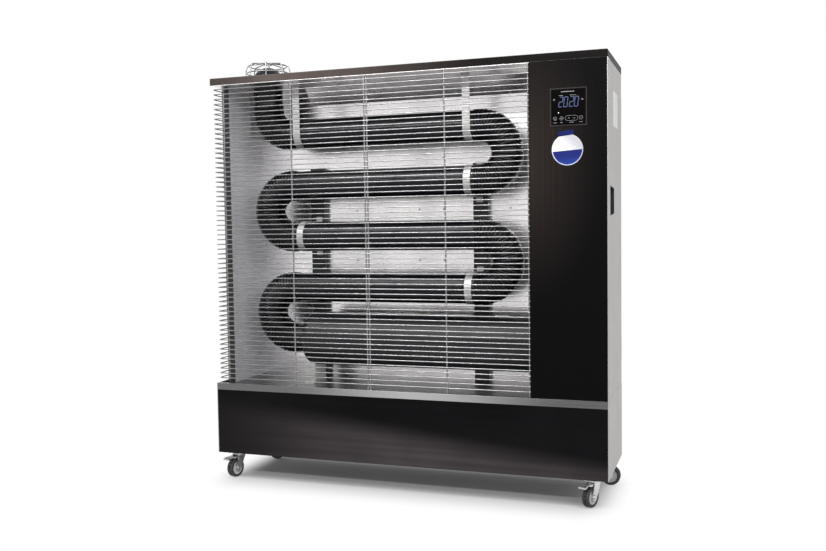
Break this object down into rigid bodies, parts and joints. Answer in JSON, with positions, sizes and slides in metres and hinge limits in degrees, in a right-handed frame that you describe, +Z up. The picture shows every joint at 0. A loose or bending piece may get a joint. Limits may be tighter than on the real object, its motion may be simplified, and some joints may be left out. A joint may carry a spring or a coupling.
{
  "type": "infrared diesel heater",
  "caption": "Free-standing infrared diesel heater on casters, with pleated black heating pipes behind a wire guard, a control cabinet and a tank base.",
  "frame": {"origin": "on the floor under the middle of the cabinet", "axes": "+X to the right of someone facing the guard, +Y from the guard to the back, +Z up"},
  "size_m": [1.041, 0.2829, 1.1255],
  "materials": {
    "dark_front": "brushed near-black steel, vertical grain",
    "gloss_base": "gloss near-black paint",
    "silver_side": "fine brushed silver sheet",
    "strip": "satin grey",
    "top": "satin dark brown-black",
    "reflector": "polished mirror sheet",
    "galvanised": "zinc plated",
    "inner_black": "matt black",
    "pipe_black": "gloss heat-proof black",
    "chrome_wire": "bright plated wire",
    "tank": "grey coated tank",
    "bare_steel": "plain steel",
    "black_plastic": "moulded black",
    "panel_frame": "brown-grey frame",
    "panel_gloss": "gloss black window",
    "board": "green board",
    "line": "copper tube",
    "cap_red": "red moulded cap",
    "zinc": "bright zinc",
    "wheel": "black rubber tread on a grey core"
  },
  "bodies": {
    "root": {"base_tray": "bare_steel", "base_front_panel": "gloss_base", "base_rear_panel": "silver_side", "base_deck": "strip", "fuel_tank": "tank", "filler_neck": "inner_black", "left_side_panel": "silver_side", "left_flange_strip": "inner_black", "side_reflector": "reflector", "back_reflector": "reflector", "top_reflector": "reflector", "partition_wall": "reflector", "control_front_panel": "dark_front", "right_side_frame": "silver_side", "door_hinges": "bare_steel", "rear_cover": "silver_side", "top_plate": "top", "flue_pipe": "pipe_black", "flue_cage": "chrome_wire", "flue_elbow": "pipe_black", "heat_pipes": "pipe_black", "return_bends": "pipe_black", "combustion_chamber": "pipe_black", "hanger_straps": "galvanised", "pipe_clamps": "galvanised", "pipe_rails": "inner_black", "chamber_bracket": "galvanised", "guard_wires": "chrome_wire", "guard_uprights": "chrome_wire", "burner_housing": "inner_black", "fan_scroll": "bare_steel", "fan_motor": "inner_black", "fuel_pump": "bare_steel", "fuel_filter": "bare_steel", "fuel_line": "line", "control_board": "board", "ignition_transformer": "black_plastic", "panel_bezel": "panel_frame", "display_window": "panel_gloss", "power_inlet": "black_plastic", "caster_plates": "zinc"},
    "filler_cap": {"filler_cap": "cap_red"},
    "door": {"side_door": "silver_side", "door_pull_cup": "black_plastic"},
    "burner_fan": {"burner_fan": "bare_steel"},
    "key_power": {"key_power": "panel_gloss"},
    "key_mode": {"key_mode": "panel_gloss"},
    "key_up": {"key_up": "panel_gloss"},
    "key_down": {"key_down": "panel_gloss"},
    "key_timer": {"key_timer": "panel_gloss"},
    "fork_fl": {"caster_fork_fl": "zinc"},
    "wheel_fl": {"caster_wheel_fl": "wheel"},
    "fork_fr": {"caster_fork_fr": "zinc"},
    "wheel_fr": {"caster_wheel_fr": "wheel"},
    "fork_rl": {"caster_fork_rl": "zinc"},
    "wheel_rl": {"caster_wheel_rl": "wheel"},
    "fork_rr": {"caster_fork_rr": "zinc"},
    "wheel_rr": {"caster_wheel_rr": "wheel"},
    "lever_fl": {"brake_lever_fl": "zinc"},
    "lever_fr": {"brake_lever_fr": "zinc"}
  },
  "joints": [
    {"name": "swivel_fl", "type": "hinge", "parent": "root", "child": "fork_fl", "pos_m": [-0.48, -0.095, 0.062], "axis": [0, 0, 1], "continuous": true},
    {"name": "roll_fl", "type": "hinge", "parent": "fork_fl", "child": "wheel_fl", "pos_m": [-0.4836, -0.11059, 0.025], "axis": [0.9744, -0.225, 0], "continuous": true},
    {"name": "brake_fl", "type": "hinge", "parent": "fork_fl", "child": "lever_fl", "pos_m": [-0.48225, -0.10474, 0.0546], "axis": [0.9744, -0.225, 0], "range_deg": [0, 12]},
    {"name": "swivel_fr", "type": "hinge", "parent": "root", "child": "fork_fr", "pos_m": [0.48, -0.095, 0.062], "axis": [0, 0, 1], "continuous": true},
    {"name": "roll_fr", "type": "hinge", "parent": "fork_fr", "child": "wheel_fr", "pos_m": [0.47349, -0.10962, 0.025], "axis": [0.9135, -0.4067, 0], "continuous": true},
    {"name": "brake_fr", "type": "hinge", "parent": "fork_fr", "child": "lever_fr", "pos_m": [0.47593, -0.10414, 0.0546], "axis": [0.9135, -0.4067, 0], "range_deg": [0, 12]},
    {"name": "swivel_rl", "type": "hinge", "parent": "root", "child": "fork_rl", "pos_m": [-0.48, 0.095, 0.062], "axis": [0, 0, 1], "continuous": true},
    {"name": "roll_rl", "type": "hinge", "parent": "fork_rl", "child": "wheel_rl", "pos_m": [-0.464, 0.095, 0.025], "axis": [0, 1, 0], "continuous": true},
    {"name": "swivel_rr", "type": "hinge", "parent": "root", "child": "fork_rr", "pos_m": [0.48, 0.095, 0.062], "axis": [0, 0, 1], "continuous": true},
    {"name": "roll_rr", "type": "hinge", "parent": "fork_rr", "child": "wheel_rr", "pos_m": [0.496, 0.095, 0.025], "axis": [0, 1, 0], "continuous": true},
    {"name": "door_hinge", "type": "hinge", "parent": "root", "child": "door", "pos_m": [0.5175, 0.1325, 0.65], "axis": [0, 0, 1], "range_deg": [0, 100]},
    {"name": "cap_turn", "type": "hinge", "parent": "root", "child": "filler_cap", "pos_m": [0.2, 0.08896, 0.16096], "axis": [0, 0.7071, 0.7071], "range_deg": [0, 90]},
    {"name": "fan_spin", "type": "hinge", "parent": "root", "child": "burner_fan", "pos_m": [0.412, 0, 0.3714], "axis": [1, 0, 0], "continuous": true},
    {"name": "press_power", "type": "slide", "parent": "root", "child": "key_power", "axis": [0, 1, 0], "range_m": [0, 0.0002], "stiffness_N_per_m": 400},
    {"name": "press_mode", "type": "slide", "parent": "root", "child": "key_mode", "axis": [0, 1, 0], "range_m": [0, 0.0002], "stiffness_N_per_m": 400},
    {"name": "press_up", "type": "slide", "parent": "root", "child": "key_up", "axis": [0, 1, 0], "range_m": [0, 0.0002], "stiffness_N_per_m": 400},
    {"name": "press_down", "type": "slide", "parent": "root", "child": "key_down", "axis": [0, 1, 0], "range_m": [0, 0.0002], "stiffness_N_per_m": 400},
    {"name": "press_timer", "type": "slide", "parent": "root", "child": "key_timer", "axis": [0, 1, 0], "range_m": [0, 0.0002], "stiffness_N_per_m": 400}
  ]
}
